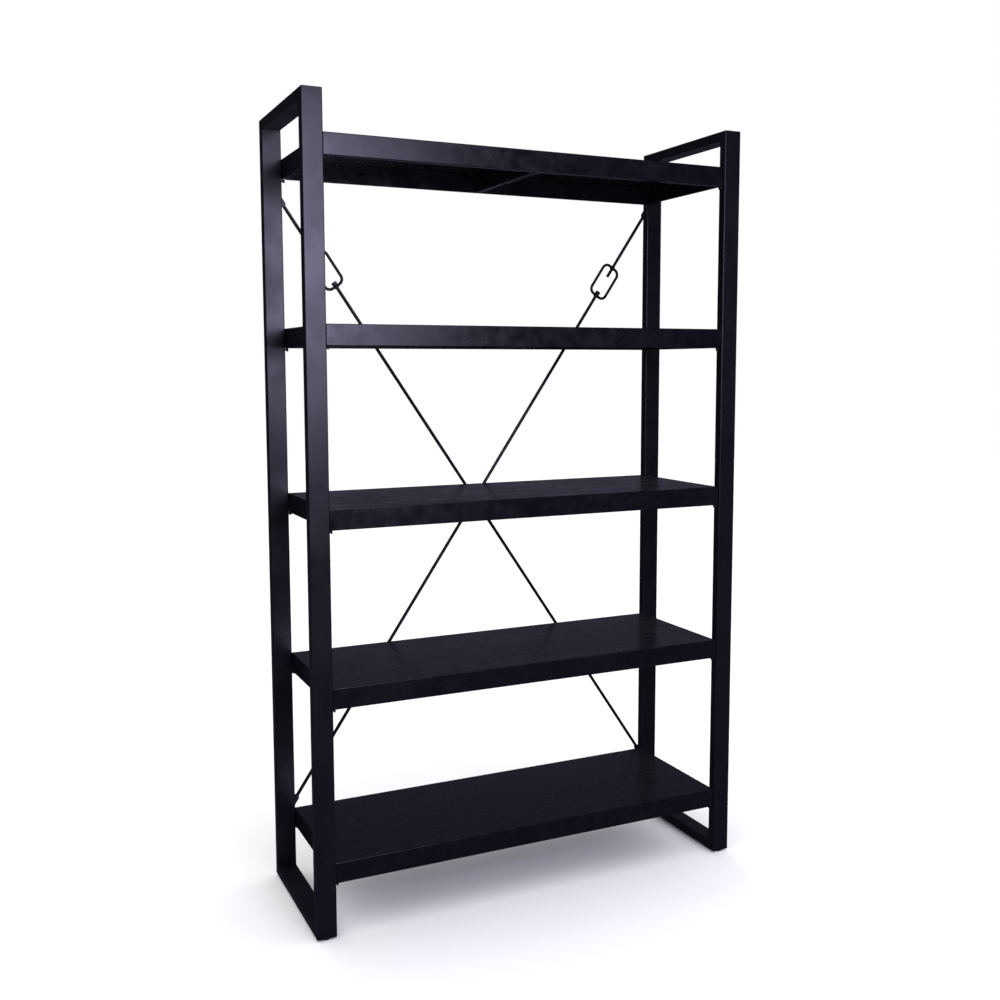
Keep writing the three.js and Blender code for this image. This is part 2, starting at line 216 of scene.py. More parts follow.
def with_boolean(mesh, other, operation):
    """mesh cut by, or joined to, other."""
    piece, tool = scratch(mesh), scratch(other)
    boolean = piece.modifiers.new("boolean", "BOOLEAN")
    boolean.operation = operation
    boolean.solver = "EXACT"
    boolean.object = tool
    result = evaluated_mesh(piece)
    bpy.data.objects.remove(tool)
    return result


def with_bevel(mesh, width, segments, by_weight):
    """mesh with rounded edges: those with a weight, or else the sharp ones."""
    piece = scratch(mesh)
    bevel = piece.modifiers.new("bevel", "BEVEL")
    bevel.width = width
    bevel.segments = segments
    bevel.use_clamp_overlap = not by_weight
    bevel.limit_method = "WEIGHT" if by_weight else "ANGLE"
    bevel.angle_limit = math.radians(SHARP_ANGLE)
    flatten = piece.modifiers.new("flatten", "WEIGHTED_NORMAL")
    flatten.weight = 100
    flatten.keep_sharp = False
    return evaluated_mesh(piece)


def is_inside(point, low, high):
    return all(low[i] < point[i] < high[i] for i in range(3))


def carved_block(name, block, cutters, radius_at):
    """An axis-aligned block less some boxes, with rounded edges. radius_at(middle,
    direction) gives the radius of the edge with that middle point and direction."""
    low, high = block
    planes = []
    for axis in range(3):
        values = {low[axis], high[axis]}
        for cutter in cutters:
            values |= {corner[axis] for corner in cutter}
        planes.append(sorted(v for v in values if low[axis] <= v <= high[axis]))
    counts = [len(p) - 1 for p in planes]

    def solid(cell):
        if not all(0 <= cell[a] < counts[a] for a in range(3)):
            return False
        middle = [(planes[a][cell[a]] + planes[a][cell[a] + 1]) / 2 for a in range(3)]
        return not any(is_inside(middle, *cutter) for cutter in cutters)

    bm = bmesh.new()
    made = {}

    def corner(index):
        if index not in made:
            made[index] = bm.verts.new([planes[a][index[a]] for a in range(3)])
        return made[index]

    cells = [
        (i, j, k)
        for i in range(counts[0])
        for j in range(counts[1])
        for k in range(counts[2])
    ]
    for cell in cells:
        if not solid(cell):
            continue
        for axis in range(3):
            for step in (0, 1):
                beside = list(cell)
                beside[axis] += 2 * step - 1
                if solid(beside):
                    continue
                u, v = (axis + 1) % 3, (axis + 2) % 3
                square = []
                for du, dv in ((0, 0), (1, 0), (1, 1), (0, 1)):
                    index = list(cell)
                    index[axis] += step
                    index[u] += du
                    index[v] += dv
                    square.append(corner(tuple(index)))
                bm.faces.new(square if step else square[::-1])
    bmesh.ops.dissolve_limit(
        bm, angle_limit=math.radians(1), verts=bm.verts, edges=bm.edges,
    )
    widest = max(FOLD_RADIUS, RIB_RADIUS)
    weight = bm.edges.layers.float.new("bevel_weight_edge")
    for edge in bm.edges:
        if edge.calc_face_angle(0) > math.radians(SHARP_ANGLE):
            ends = [vert.co for vert in edge.verts]
            middle = (ends[0] + ends[1]) / 2
            direction = (ends[1] - ends[0]).normalized()
            edge[weight] = radius_at(middle, direction) / widest
    mesh = new_mesh(name, bm, sharp_angle=180)
    return with_bevel(mesh, widest, 4, by_weight=True)


# ---------------------------------------------------------------- node helpers

class Finish:
    """A material under construction: short calls that add and link nodes."""

    def __init__(self, name):
        self.material = bpy.data.materials.new(name)
        self.material.use_nodes = True
        self.tree = self.material.node_tree
        self.tree.nodes.clear()
        self.output = self.tree.nodes.new("ShaderNodeOutputMaterial")
        self.shader = self.tree.nodes.new("ShaderNodeBsdfPrincipled")
        self.tree.links.new(self.shader.outputs[0], self.output.inputs["Surface"])
        self.coordinates = self.tree.nodes.new("ShaderNodeTexCoord")

    def put(self, socket, value):
        """Links value if it is a node's output, and otherwise stores it."""
        if isinstance(value, bpy.types.NodeSocket):
            self.tree.links.new(value, socket)
        else:
            socket.default_value = value

    def set(self, name, value):
        self.put(self.shader.inputs[name], value)

    def math(self, operation, *values):
        node = self.tree.nodes.new("ShaderNodeMath")
        node.operation = operation
        for socket, value in zip(node.inputs, values):
            self.put(socket, value)
        return node.outputs[0]

    def stretched(self, scale):
        """Object coordinates, scaled differently along each axis."""
        node = self.tree.nodes.new("ShaderNodeMapping")
        node.inputs["Scale"].default_value = scale
        self.put(node.inputs["Vector"], self.coordinates.outputs["Object"])
        return node.outputs[0]

    def noise(self, vector, scale, detail=3, roughness=0.5):
        node = self.tree.nodes.new("ShaderNodeTexNoise")
        self.put(node.inputs["Vector"], vector)
        node.inputs["Scale"].default_value = scale
        node.inputs["Detail"].default_value = detail
        node.inputs["Roughness"].default_value = roughness
        return node.outputs[0]

    def ramp(self, value, low, high, low_value=0.0, high_value=1.0):
        """value from low to high becomes low_value to high_value, and stays there."""
        node = self.tree.nodes.new("ShaderNodeMapRange")
        node.interpolation_type = "SMOOTHSTEP"
        self.put(node.inputs["Value"], value)
        node.inputs["From Min"].default_value = low
        node.inputs["From Max"].default_value = high
        node.inputs["To Min"].default_value = low_value
        node.inputs["To Max"].default_value = high_value
        return node.outputs["Result"]

    def blend(self, share, first, second):
        node = self.tree.nodes.new("ShaderNodeMix")
        node.data_type = "RGBA"
        self.put(node.inputs["Factor"], share)
        colours = [socket for socket in node.inputs if socket.type == "RGBA"]
        for socket, value in zip(colours, (first, second)):
            self.put(socket, value)
        return [socket for socket in node.outputs if socket.type == "RGBA"][0]

    def bump(self, height, distance, strength=1.0, under=None):
        node = self.tree.nodes.new("ShaderNodeBump")
        node.inputs["Distance"].default_value = distance
        node.inputs["Strength"].default_value = strength
        self.put(node.inputs["Height"], height)
        if under is not None:
            self.put(node.inputs["Normal"], under)
        return node.outputs[0]

    def edge_share(self):
        """0 on faces square to the axes, rising to 1 on rounded edges and corners."""
        sizes = [self.math("ABSOLUTE", part) for part in self.normal_parts()]
        largest = self.math("MAXIMUM", self.math("MAXIMUM", sizes[0], sizes[1]), sizes[2])
        return self.ramp(largest, 0.97, 0.75)

    def normal_parts(self):
        """The X, Y and Z of the surface's direction."""
        split = self.tree.nodes.new("ShaderNodeSeparateXYZ")
        self.put(split.inputs[0], self.coordinates.outputs["Normal"])
        return list(split.outputs)


def rgb(*values):
    return (*values, 1.0)


def painted_tube():
    """Near-black satin paint over steel tube, thin on the rounded edges."""
    f = Finish("frame_paint")
    spread = f.stretched((1, 1, 1))
    cloud = f.noise(spread, 9, detail=4, roughness=0.6)
    grain = f.noise(spread, 900, detail=2)
    wear_noise = f.noise(spread, 70, detail=5, roughness=0.7)
    worn = f.math("MULTIPLY", f.edge_share(), f.ramp(wear_noise, 0.5, 0.75))
    base = f.blend(cloud, rgb(0.0030, 0.0023, 0.0060), rgb(0.0044, 0.0036, 0.0080))
    f.set("Base Color", f.blend(f.math("MULTIPLY", worn, 0.6), base, rgb(0.03, 0.029, 0.036)))
    satin = f.ramp(cloud, 0.3, 0.7, 0.24, 0.33)
    f.set("Roughness", f.math("ADD", satin, f.math("MULTIPLY", grain, 0.05)))
    f.set("Specular IOR Level", 0.5)
    wave = f.bump(f.noise(f.stretched((14, 14, 2.5)), 1, detail=2), 0.3 * MM)
    f.set("Normal", f.bump(grain, 0.016 * MM, 0.4, wave))
    return f.material


def painted_sheet():
    """Near-black lacquer over rolled sheet: mottled, with streaks along X on the tops."""
    f = Finish("shelf_lacquer")
    even = f.stretched((1, 1, 1))
    cloud = f.noise(even, 26, detail=6, roughness=0.62)
    bloom = f.noise(even, 4, detail=3)
    grain = f.noise(even, 700, detail=2)
    flat = f.ramp(f.math("ABSOLUTE", f.normal_parts()[2]), 0.5, 0.9)
    coarse_lines = f.noise(f.stretched((3, 90, 90)), 1, detail=5, roughness=0.6)
    fine_lines = f.noise(f.stretched((12, 520, 520)), 1, detail=3)
    streak = f.math("MULTIPLY", flat, coarse_lines)
    fine = f.math("MULTIPLY", flat, fine_lines)
    worn = f.math("MULTIPLY", f.edge_share(), f.ramp(cloud, 0.45, 0.7))
    shade = f.math("ADD", f.math("MULTIPLY", streak, 0.6), f.math("MULTIPLY", cloud, 0.4))
    base = f.blend(shade, rgb(0.0026, 0.0019, 0.0046), rgb(0.0060, 0.0048, 0.0088))
    f.set("Base Color", f.blend(f.math("MULTIPLY", worn, 0.5), base, rgb(0.034, 0.031, 0.037)))
    mottle = f.ramp(cloud, 0.3, 0.7, 0.0, 0.13)
    patches = f.ramp(bloom, 0.35, 0.65, 0.0, 0.06)
    streaks = f.ramp(streak, 0.3, 0.7, 0.0, 0.08)
    marks = f.math("ADD", mottle, patches)
    f.set("Roughness", f.math("ADD", marks, f.math("ADD", streaks, 0.15)))
    f.set("Specular IOR Level", 0.5)
    wave = f.bump(f.noise(f.stretched((3, 7, 7)), 1, detail=2), 0.35 * MM)
    lines = f.math("ADD", streak, f.math("MULTIPLY", fine, 0.3))
    brushed = f.bump(lines, 0.025 * MM, 0.5, wave)
    skin = f.math("ADD", cloud, f.math("MULTIPLY", grain, 0.06))
    f.set("Normal", f.bump(skin, 0.045 * MM, 0.5, brushed))
    return f.material


def blackened(name, colour, bright, roughness, scale):
    """Blackened steel with a thin brighter bloom, for rods, rings and fasteners."""
    f = Finish(name)
    spread = f.stretched((1, 1, 1))
    cloud = f.noise(spread, scale, detail=5, roughness=0.65)
    pits = f.noise(spread, scale * 9, detail=3, roughness=0.6)
    f.set("Base Color", f.blend(f.ramp(cloud, 0.4, 0.75), rgb(*colour), rgb(*bright)))
    f.set("Metallic", 0.35)
    f.set("Roughness", f.ramp(pits, 0.3, 0.7, roughness - 0.06, roughness + 0.1))
    f.set("Specular IOR Level", 0.35)
    f.set("Normal", f.bump(pits, 0.02 * MM, 0.4))
    return f.material


def moulded_plastic():
    """Matt black moulded plastic, finely spark-eroded and scuffed."""
    f = Finish("glide_plastic")
    spread = f.stretched((1, 1, 1))
    erosion = f.noise(spread, 2600, detail=2)
    scuff = f.noise(spread, 160, detail=5, roughness=0.7)
    worn = f.ramp(scuff, 0.5, 0.8)
    f.set("Base Color", f.blend(worn, rgb(0.006, 0.006, 0.007), rgb(0.02, 0.02, 0.022)))
    f.set("Roughness", f.ramp(scuff, 0.3, 0.8, 0.52, 0.7))
    f.set("Normal", f.bump(erosion, 0.03 * MM, 0.6))
    return f.material


# ---------------------------------------------------------------- side frames

def tube_outline():
    """The tube's outline as (x from its middle, depth from its outer face)."""
    half = TUBE_HALF_FACE
    points = []
    corners = (
        (half - TUBE_CORNER, TUBE_CORNER, -90),
        (half - TUBE_CORNER, TUBE_DEPTH - TUBE_CORNER, 0),
        (-half + TUBE_CORNER, TUBE_DEPTH - TUBE_CORNER, 90),
        (-half + TUBE_CORNER, TUBE_CORNER, 180),
    )
    for x, depth, start in corners:
        for i in range(TUBE_CORNER_STEPS + 1):
            angle = math.radians(start + 90 * i / TUBE_CORNER_STEPS)
            point_x = x + TUBE_CORNER * math.cos(angle)
            points.append((point_x, depth + TUBE_CORNER * math.sin(angle)))
    return points


def make_side_frame(side, finish):
    """Four tubes mitred and welded into one loop, the ground seams slightly sunk."""
    nodes = [f"{end}_post_{side}" for end in ENDS]
    nodes += [f"{place}_rail_{side}" for place in ("top", "bottom")]
    boxes = [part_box(node) for node in nodes]
    low = Vector([min(b[0][i] for b in boxes) for i in range(3)])
    high = Vector([max(b[1][i] for b in boxes) for i in range(3)])
    middle = (low + high) / 2
    outline = tube_outline()

    def ring(sy, sz, shift, sink):
        """The outline on one corner's mitre plane, moved shift along a tube."""
        points = []
        for x, depth in outline:
            inner = TUBE_DEPTH / 2
            depth = inner + (depth - inner) * (1 - sink / inner)
            reach_y = (high.y - low.y) / 2 - depth - shift[0]
            reach_z = (high.z - low.z) / 2 - depth - shift[1]
            x_scale = 1 - sink / TUBE_HALF_FACE
            points.append((
                middle.x + x * x_scale,
                middle.y + sy * reach_y,
                middle.z + sz * reach_z,
            ))
        return points

    rings = []
    w = SEAM_HALF_WIDTH
    for sy, sz in ((-1, -1), (-1, 1), (1, 1), (1, -1)):
        rail_first = sy != sz
        before, after = ((0, w), (w, 0)) if rail_first else ((w, 0), (0, w))
        far_before, far_after = (
            tuple(SEAM_REACH * shift for shift in pair) for pair in (before, after)
        )
        for shift, sink in (
            (far_before, 0), (before, 0), ((0, 0), SEAM_DEPTH), (after, 0), (far_after, 0),
        ):
            rings.append(ring(sy, sz, shift, sink))
    bm = bmesh.new()
    loft(bm, rings, loop=True)
    mesh = new_mesh(f"side_frame_{side}", bm, sharp_angle=60)
    piece = scratch(mesh)
    flatten = piece.modifiers.new("flatten", "WEIGHTED_NORMAL")
    flatten.weight = 100
    add_piece(f"side_frame_{side}", evaluated_mesh(piece), finish, nodes=nodes)


def make_glide(side, end, finish):
    """A rounded plastic foot with a waisted neck and a stud up into the frame."""
    node = f"glide_foot_{end}_{side}"
    low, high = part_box(node)
    centre = Vector(((low.x + high.x) / 2, (low.y + high.y) / 2, 0))
    radius = (high.x - low.x) / 2
    rounding = GLIDE_ROUNDING
    profile = [(0, 2 * MM), (0, radius - rounding)]
    for i in range(1, 7):
        angle = math.radians(15 * i)
        height = rounding * (1 - math.cos(angle))
        profile.append((height, radius - rounding * (1 - math.sin(angle))))
    profile += [
        (3.4 * MM, radius),
        (4.1 * MM, radius - 0.2 * MM),
        (4.6 * MM, radius - 0.9 * MM),
        (4.7 * MM, radius - 1.6 * MM),
        (4.7 * MM, GLIDE_STUD_RADIUS),
        (13.4 * MM, GLIDE_STUD_RADIUS),
        (14 * MM, 3.4 * MM),
    ]
    bm = bmesh.new()
    turned(bm, centre, Vector((0, 0, 1)), profile)
    mesh = new_mesh(node, bm)
    add_piece(f"foot_{end}_{side}", mesh, finish, nodes=[node])


# ---------------------------------------------------------------- shelves

def make_pan(n, finish):
    """A folded pan: returned along the front, hemmed elsewhere, bends rounded."""
    node = f"shelf_pan_{n}"
    low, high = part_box(node)
    inner_front = low.y + SHEET
    hem_rear = high.y - HEM
    cutters = [
        ((low.x + SHEET, inner_front, low.z + HEM_HEIGHT),
         (high.x - SHEET, high.y - SHEET, high.z - SHEET)),
        ((low.x + HEM, inner_front, low.z + SHEET),
         (high.x - HEM, hem_rear, low.z + HEM_HEIGHT)),
        ((low.x + HEM, low.y + LIP, low.z - OVERRUN),
         (high.x - HEM, hem_rear, low.z + SHEET)),
    ]
    for hem, relief, notch in (
        (low.x + HEM, low.x + LIP_RELIEF, low.x + HEM + NOTCH_LENGTH),
        (high.x - HEM, high.x - LIP_RELIEF, high.x - HEM - NOTCH_LENGTH),
    ):
        cutters.append(
            ((min(hem, relief), inner_front, low.z - OVERRUN),
             (max(hem, relief), low.y + LIP, low.z + SHEET)))
        cutters.append(
            ((min(hem, notch), hem_rear, low.z - OVERRUN),
             (max(hem, notch), high.y + OVERRUN, low.z + NOTCH_HEIGHT)))

    def radius_at(middle, direction):
        outer_x = min(abs(middle.x - low.x), abs(middle.x - high.x)) < TINY
        outer_y = min(abs(middle.y - low.y), abs(middle.y - high.y)) < TINY
        bottom = abs(middle.z - low.z) < TINY
        front = abs(middle.y - low.y) < TINY
        if abs(middle.z - high.z) < TINY:
            return FOLD_RADIUS
        if outer_x and outer_y:
            return PAN_CORNER
        if bottom and front:
            return FOLD_RADIUS
        if bottom and (outer_x or outer_y):
            return HEM_RADIUS
        return 2 * EDGE_RADIUS if bottom else EDGE_RADIUS

    mesh = carved_block(node, (low, high), cutters, radius_at)
    add_piece(f"pan_{n}", mesh, finish, nodes=[node])


def make_rib(n, finish):
    """A channel under the pan, notched over its return, with three round holes."""
    node = f"shelf_rib_{n}"
    low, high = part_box(node)
    pan_low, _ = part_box(f"shelf_pan_{n}")
    web_front = pan_low.y + LIP + FIT_GAP
    cutters = [
        ((low.x + SHEET, low.y - OVERRUN, low.z + SHEET),
         (high.x - SHEET, high.y + OVERRUN, high.z + OVERRUN)),
        ((low.x - OVERRUN, low.y - OVERRUN, low.z - OVERRUN),
         (high.x + OVERRUN, web_front, low.z + SHEET + FIT_GAP)),
    ]

    def radius_at(middle, direction):
        lower = abs(middle.z - low.z) < TINY
        side = min(abs(middle.x - low.x), abs(middle.x - high.x)) < TINY
        along_y = abs(direction.y) > 0.9
        return RIB_RADIUS if lower and side and along_y else EDGE_RADIUS

    mesh = carved_block(node, (low, high), cutters, radius_at)
    holes = (web_front + RIB_HOLE_INSET, (web_front + high.y) / 2, high.y - RIB_HOLE_INSET)
    for y in holes:
        bm = bmesh.new()
        start = Vector(((low.x + high.x) / 2, y, low.z - OVERRUN))
        reach = 2 * OVERRUN
        profile = [(0, RIB_HOLE_RADIUS), (reach, RIB_HOLE_RADIUS)]
        turned(bm, start, Vector((0, 0, 1)), profile, sides=32)
        mesh = with_boolean(mesh, new_mesh("hole", bm), "DIFFERENCE")
    add_piece(f"rib_{n}", mesh, finish, nodes=[node])


def make_pin(n, end, side, finish):
    """A shouldered pin: neck under the shelf's end flange, chamfered head inside."""
    node = f"shelf_pin_{n}_{end}_{side}"
    low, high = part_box(node)
    inward = -SIGN[side]
    post_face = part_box(f"{end}_post_{side}")[1 if side == "left" else 0].x
    head_end = high.x if side == "left" else low.x
    length = abs(head_end - post_face)
    radius = (high.z - low.z) / 2
    shank = abs((low.x if side == "left" else high.x) - post_face)
    start = Vector((post_face, (low.y + high.y) / 2, (low.z + high.z) / 2))
    neck = PIN_NECK_RADIUS
    profile = [
        (-shank, neck - 0.5 * MM),
        (-shank + 0.5 * MM, neck),
        (PIN_NECK_LENGTH - 0.3 * MM, neck),
        (PIN_NECK_LENGTH, neck + 0.3 * MM),
        (PIN_NECK_LENGTH, radius - 0.4 * MM),
        (PIN_NECK_LENGTH + 0.4 * MM, radius),
        (length - 0.9 * MM, radius),
        (length - 0.25 * MM, radius - 0.65 * MM),
        (length, radius - 1.3 * MM),
        (length, 1.9 * MM),
        (length - 0.9 * MM, 1.5 * MM),
    ]
    bm = bmesh.new()
    turned(bm, start, Vector((inward, 0, 0)), profile, sides=40)
    mesh = new_mesh(node, bm)
    add_piece(f"pin_{n}_{end}_{side}", mesh, finish, nodes=[node])


# ---------------------------------------------------------------- rear cross

def ring_joint(side):
    return next(j for j in frame["joints"] if j["child"] == f"ring_{side}")


def rod_line(side):
    """The ring's centre, and the rod's direction from the upper end to the lower."""
    joint = ring_joint(side)
    axis = Vector(joint["axis"]).normalized()
    if axis.z > 0:
        axis.negate()
    return Vector(joint["pos_m"]), axis


def span(node, centre, axis):
    """The node's two ends, as distances along axis from centre."""
    along = [(vert.co - centre).dot(axis) for vert in frame["nodes"][node].data.vertices]
    return min(along), max(along)


def threaded(bm, start, axis, length, radius):
    """A screw thread as one closed skin, running out at its start."""
    across, up = basis(axis)
    sides, per_turn = 20, 4
    step = THREAD_PITCH / per_turn
    rings = []
    count = int(length / step)
    for i in range(count + 1):
        along = i * step
        fade = min(1.0, along / (2 * THREAD_PITCH))
        tip = max(0.0, along - (length - ROD_CHAMFER)) * 0.9
        ring = []
        for k in range(sides):
            phase = (along / THREAD_PITCH + k / sides) % 1.0
            crest = abs(2 * phase - 1)
            angle = math.tau * k / sides
            r = radius - fade * THREAD_DEPTH * (1 - crest) - tip
            spoke = across * math.cos(angle) + up * math.sin(angle)
            ring.append(start + axis * along + spoke * r)
        rings.append(ring)
    loft(bm, rings)


def make_rods(side, finish):
    """The short threaded rod above the ring, and the long plain one below it."""
    centre, axis = rod_line(side)
    begin, end = span(f"upper_rod_{side}", centre, axis)
    plain_end = end - THREAD_LENGTH
    bm = bmesh.new()
    profile = [(begin, ROD_RADIUS - ROD_CHAMFER), (begin + ROD_CHAMFER, ROD_RADIUS)]
    profile += [(plain_end, ROD_RADIUS), (plain_end + 0.5 * MM, ROD_RADIUS - 0.1 * MM)]
    turned(bm, centre, axis, profile, sides=32)
    threaded(bm, centre + axis * plain_end, axis, THREAD_LENGTH, ROD_RADIUS - 0.05 * MM)
    node = f"upper_rod_{side}"
    add_piece(f"threaded_rod_{side}", new_mesh(node, bm), finish, nodes=[node])

    node = f"lower_rod_{side}"
    begin, end = span(node, centre, axis)
    bm = bmesh.new()
    profile = []
    for i in range(7):
        angle = math.radians(90 * i / 6)
        radius = max(0.3 * MM, ROD_RADIUS * math.cos(math.pi / 2 - angle))
        profile.append((begin + ROD_DOME * (1 - math.sin(angle)), radius))
    profile += [(end - ROD_CHAMFER, ROD_RADIUS), (end, ROD_RADIUS - ROD_CHAMFER)]
    turned(bm, centre, axis, profile, sides=32)
    add_piece(f"plain_rod_{side}", new_mesh(node, bm), finish, nodes=[node])


def make_nut(side, finish):
    """A hexagon nut, chamfered on both faces, flats to the front and the rear."""
    node = f"swivel_nut_{side}"
    centre, axis = rod_line(side)
    begin, end = span(node, centre, axis)
    across, depth = basis(axis)
    corner = NUT_ACROSS_CORNERS / 2
    flat = corner * math.cos(math.pi / 6)
    bore = ROD_RADIUS + ROD_CLEARANCE
    height = end - begin
    sides = 72
    levels = [0, 0.25, 0.5, 0.75, 1.0]
    face = flat * 0.97
    outer = [(NUT_CHAMFER * t, face + (corner - face) * t) for t in levels]
    outer += [(height - z, r) for z, r in reversed(outer)]
    rings = []
    sections = [(NUT_COUNTERSINK, None), *outer, (height - NUT_COUNTERSINK, None)]
    for z, limit in sections:
        ring = []
        for k in range(sides):
            angle = math.tau * k / sides
            from_flat = (angle + math.pi / 6) % (math.pi / 3) - math.pi / 6
            radius = bore if limit is None else min(limit, flat / math.cos(from_flat))
            spoke = depth * math.cos(angle) + across * math.sin(angle)
            ring.append(centre + axis * (begin + z) + spoke * radius)
        rings.append(ring)
    bm = bmesh.new()
    loft(bm, rings, loop=True)
    mesh = new_mesh(node, bm, sharp_angle=30)
    add_piece(f"hex_nut_{side}", mesh, finish, nodes=[node])


def ring_path():
    """The wire's centreline as (across, along) points, once round."""
    x, z = RING_WIDTH / 2 - RING_CORNER, RING_LENGTH / 2 - RING_CORNER
    steps = 16
    path = []
    for corner, (cx, cz) in enumerate(((x, z), (-x, z), (-x, -z), (x, -z))):
        for i in range(steps + 1):
            angle = (corner + i / steps) * math.pi / 2
            across = cx + RING_CORNER * math.cos(angle)
            along = cz + RING_CORNER * math.sin(angle)
            path.append(Vector((across, along)))
    return path


def make_ring(side, finish):
    """Bent wire and two bored bosses, run together by their welds."""
    node = f"tension_ring_{side}"
    centre, axis = rod_line(side)
    across, depth = basis(axis)
    path = ring_path()
    rings = []
    for i, point in enumerate(path):
        tangent = (path[(i + 1) % len(path)] - path[i - 1]).normalized()
        out = Vector((tangent.y, -tangent.x))
        ring = []
        for k in range(20):
            angle = math.tau * k / 20
            place = point + out * (RING_WIRE / 2 * math.cos(angle))
            rise = depth * (RING_WIRE / 2 * math.sin(angle))
            ring.append(centre + across * place.x + axis * place.y + rise)
        rings.append(ring)
    bm = bmesh.new()
    loft(bm, rings, loop=True)
    for end in (-1, 1):
        start = centre + axis * (end * RING_LENGTH / 2 - RING_BOSS_LENGTH / 2)
        radius = RING_BOSS / 2 - 0.15 * MM
        turned(bm, start, axis, [(0, radius), (RING_BOSS_LENGTH, radius)], sides=48)
    body = scratch(new_mesh(node, bm))
    remesh = body.modifiers.new("remesh", "REMESH")
    remesh.mode = "VOXEL"
    remesh.voxel_size = 0.55 * MM
    relax = body.modifiers.new("relax", "SMOOTH")
    relax.factor = 0.6
    relax.iterations = 6
    mesh = evaluated_mesh(body)
    bm = bmesh.new()
    bore = ROD_RADIUS + ROD_CLEARANCE
    turned(bm, centre - axis * RING_LENGTH, axis, [(0, bore), (2 * RING_LENGTH, bore)], sides=48)
    mesh = with_boolean(mesh, new_mesh("bore", bm), "DIFFERENCE")
    bm = bmesh.new()
    bm.from_mesh(mesh)
    mesh = new_mesh(node, bm, sharp_angle=40)
    add_piece(
        f"turning_ring_{side}", mesh, finish, body=f"ring_{side}", nodes=[node],
    )


def softened(node, width):
    """The node's own shape, with its flat faces joined and its edges rounded."""
    bm = bmesh.new()
    bm.from_mesh(frame["nodes"][node].data)
    bmesh.ops.remove_doubles(bm, verts=bm.verts, dist=1e-6)
    bmesh.ops.dissolve_limit(
        bm, angle_limit=math.radians(1), verts=bm.verts, edges=bm.edges,
    )
    return with_bevel(new_mesh(node, bm, sharp_angle=180), width, 3, by_weight=False)


def weld_bead(bm, path, radius, seed):
    """A rippled bead round a closed path of points."""
    rings = []
    middle = sum(path, Vector()) / len(path)
    for i, point in enumerate(path):
        tangent = (path[(i + 1) % len(path)] - path[i - 1]).normalized()
        out = (point - middle) - tangent * (point - middle).dot(tangent)
        out.normalize()
        up = tangent.cross(out)
        ripple = 1 + 0.14 * math.sin(i * 2.1) + 0.2 * noise.noise(Vector((i * 0.31, seed, 0)))
        ring = []
        for k in range(10):
            angle = math.tau * k / 10
            spoke = out * math.cos(angle) + up * math.sin(angle)
            ring.append(point + spoke * radius * ripple)
        rings.append(ring)
    loft(bm, rings, loop=True)


def make_anchor(place, side, seed, finish):
    """A welded lug with a bead round its foot."""
    node = f"rod_anchor_{place}_{side}"
    lug = softened(node, ANCHOR_ROUNDING)
    add_piece(f"anchor_{place}_{side}", lug, finish, nodes=[node])
    low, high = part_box(node)
    face = high.x if side == "right" else low.x
    inset = BEAD_INSET
    foot_z = foot_heights(node, face)
    corners = ((low.y + inset, foot_z[0]), (high.y - inset, foot_z[0]),
               (high.y - inset, foot_z[1]), (low.y + inset, foot_z[1]))
    path = []
    for i, (y, z) in enumerate(corners):
        next_y, next_z = corners[(i + 1) % 4]
        steps = max(4, int(math.hypot(next_y - y, next_z - z) / BEAD_STEP))
        for k in range(steps):
            t = k / steps
            path.append(Vector((face, y + (next_y - y) * t, z + (next_z - z) * t)))
    bm = bmesh.new()
    weld_bead(bm, path, BEAD_RADIUS, seed)
    add_piece(f"anchor_weld_{place}_{side}", new_mesh(node, bm, 70), finish)


def foot_heights(node, face):
    """How far the node's foot on the post's face reaches in Z."""
    points = [vert.co for vert in frame["nodes"][node].data.vertices]
    heights = [point.z for point in points if abs(point.x - face) < 0.1 * MM]
    return min(heights), max(heights)


# ---------------------------------------------------------------- studio

def make_floor():
    bm = bmesh.new()
    bmesh.ops.create_circle(bm, cap_ends=True, segments=96, radius=FLOOR_RADIUS)
    floor = scratch(new_mesh("studio_floor", bm))
    floor.name = "studio_floor"
    f = Finish("studio_floor")
    f.set("Base Color", rgb(0.9, 0.9, 0.9))
    f.set("Roughness", 0.9)
    f.set("Specular IOR Level", 0.1)
    floor.data.materials.append(f.material)
    floor.visible_glossy = False


def area_light(name, place, target, width, height, power):
    data = bpy.data.lights.new(name, "AREA")
    data.shape = "RECTANGLE"
    data.size, data.size_y = width, height
    data.energy = power
    lamp = bpy.data.objects.new(name, data)
    bpy.context.scene.collection.objects.link(lamp)
    data.color = LAMP_COLOUR
    lamp.visible_camera = False
    lamp.location = place
    aim = Vector(target) - Vector(place)
    lamp.rotation_euler = aim.to_track_quat("-Z", "Y").to_euler()


